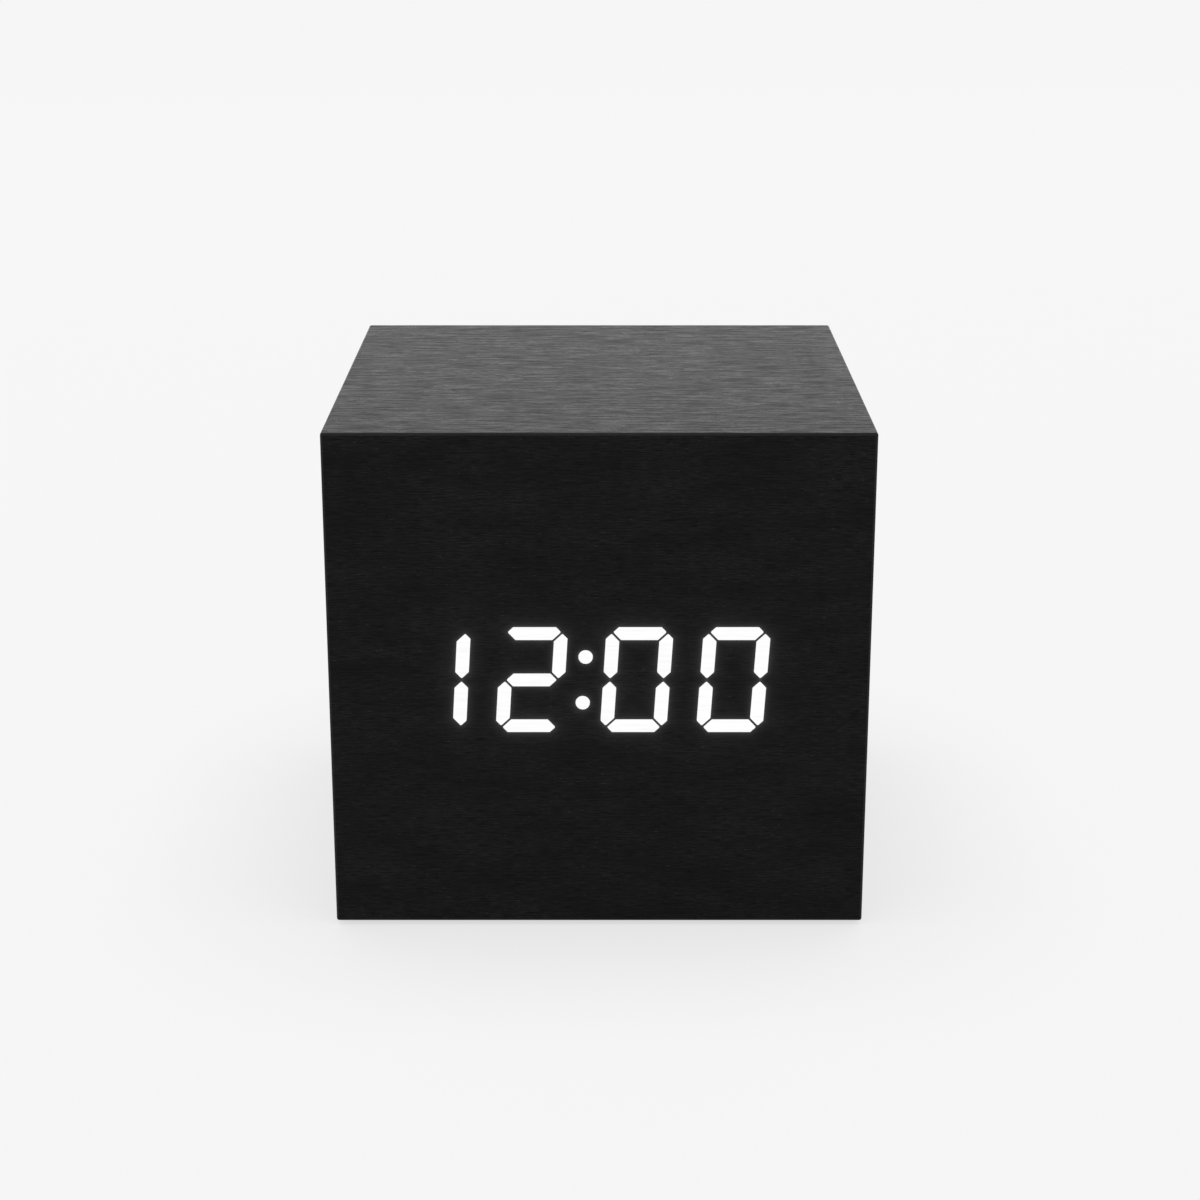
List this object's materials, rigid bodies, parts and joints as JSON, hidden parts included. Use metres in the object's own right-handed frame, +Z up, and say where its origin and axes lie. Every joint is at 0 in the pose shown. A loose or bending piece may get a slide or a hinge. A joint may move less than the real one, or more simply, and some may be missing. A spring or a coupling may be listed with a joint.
{
  "type": "led cube alarm clock",
  "caption": "Near-cubic desk alarm clock in black grain film, white LED digits shining through its front, rear buttons, power inlet and a hinged battery door below.",
  "frame": {"origin": "on the table, under the middle of the case: bottom centre of the bounding box, on the plane of the feet", "axes": "+Z up, -Y out of the display, +X to the right seen from the front"},
  "size_m": [0.065, 0.065, 0.0626],
  "materials": {
    "grain_film": "satin film with fine embossed grain",
    "fibreboard": "raw pressed fibre",
    "foot_rubber": "matt",
    "lit_segment": "lit from behind",
    "light_plug": "milky",
    "black_plastic": "fine moulded texture",
    "led_chip": "yellow phosphor",
    "circuit_board": "green solder mask",
    "screw_steel": "zinc plated",
    "chip_black": "moulded epoxy",
    "socket_ivory": "moulded",
    "knob_grey": "moulded",
    "contact_nickel": "nickel plated sheet",
    "can_aluminium": "drawn can",
    "ribbon_grey": "flat cable",
    "cell_can": "plain sleeve",
    "lead_red": "wire sleeve",
    "lead_black": "wire sleeve"
  },
  "bodies": {
    "clock": {"grain_film": "grain_film", "front_core": "fibreboard", "back_core": "fibreboard", "top_core": "fibreboard", "bottom_core": "fibreboard", "left_core": "fibreboard", "right_core": "fibreboard", "feet": "foot_rubber", "lit_segments": "lit_segment", "unlit_segments": "light_plug", "segment_reflector": "black_plastic", "led_chips": "led_chip", "display_board": "circuit_board", "display_screws": "screw_steel", "display_driver": "chip_black", "display_socket": "socket_ivory", "rear_plate": "black_plastic", "rear_plate_screws": "screw_steel", "switch_housings": "chip_black", "sound_switch_housing": "contact_nickel", "main_board": "circuit_board", "main_board_screws": "screw_steel", "usb_shell": "contact_nickel", "usb_tongue": "black_plastic", "buzzer": "chip_black", "microphone": "can_aluminium", "control_chip": "chip_black", "quartz_crystal": "can_aluminium", "capacitor": "can_aluminium", "board_socket": "socket_ivory", "ribbon_cable": "ribbon_grey", "battery_box": "black_plastic", "battery_cells": "cell_can", "contact_plates": "contact_nickel", "contact_springs": "contact_nickel", "red_lead": "lead_red", "black_lead": "lead_black"},
    "set_button": {"set_button": "black_plastic", "set_plunger": "black_plastic"},
    "up_button": {"up_button": "black_plastic", "up_plunger": "black_plastic"},
    "down_button": {"down_button": "black_plastic", "down_plunger": "black_plastic"},
    "sound_switch": {"sound_switch_knob": "knob_grey"},
    "battery_door": {"battery_door": "black_plastic"}
  },
  "joints": [
    {"name": "set_press", "type": "slide", "parent": "clock", "child": "set_button", "axis": [0, -1, 0], "range_m": [0, 0.0003], "stiffness_N_per_m": 1000, "springref_m": -0.0003},
    {"name": "up_press", "type": "slide", "parent": "clock", "child": "up_button", "axis": [0, -1, 0], "range_m": [0, 0.0003], "stiffness_N_per_m": 1000, "springref_m": -0.0003},
    {"name": "down_press", "type": "slide", "parent": "clock", "child": "down_button", "axis": [0, -1, 0], "range_m": [0, 0.0003], "stiffness_N_per_m": 1000, "springref_m": -0.0003},
    {"name": "sound_switch_slide", "type": "slide", "parent": "clock", "child": "sound_switch", "axis": [1, 0, 0], "range_m": [0, 0.002]},
    {"name": "battery_door_hinge", "type": "hinge", "parent": "clock", "child": "battery_door", "pos_m": [0, -0.02375, 0.0015], "axis": [-1, 0, 0], "range_deg": [0, 95]}
  ]
}
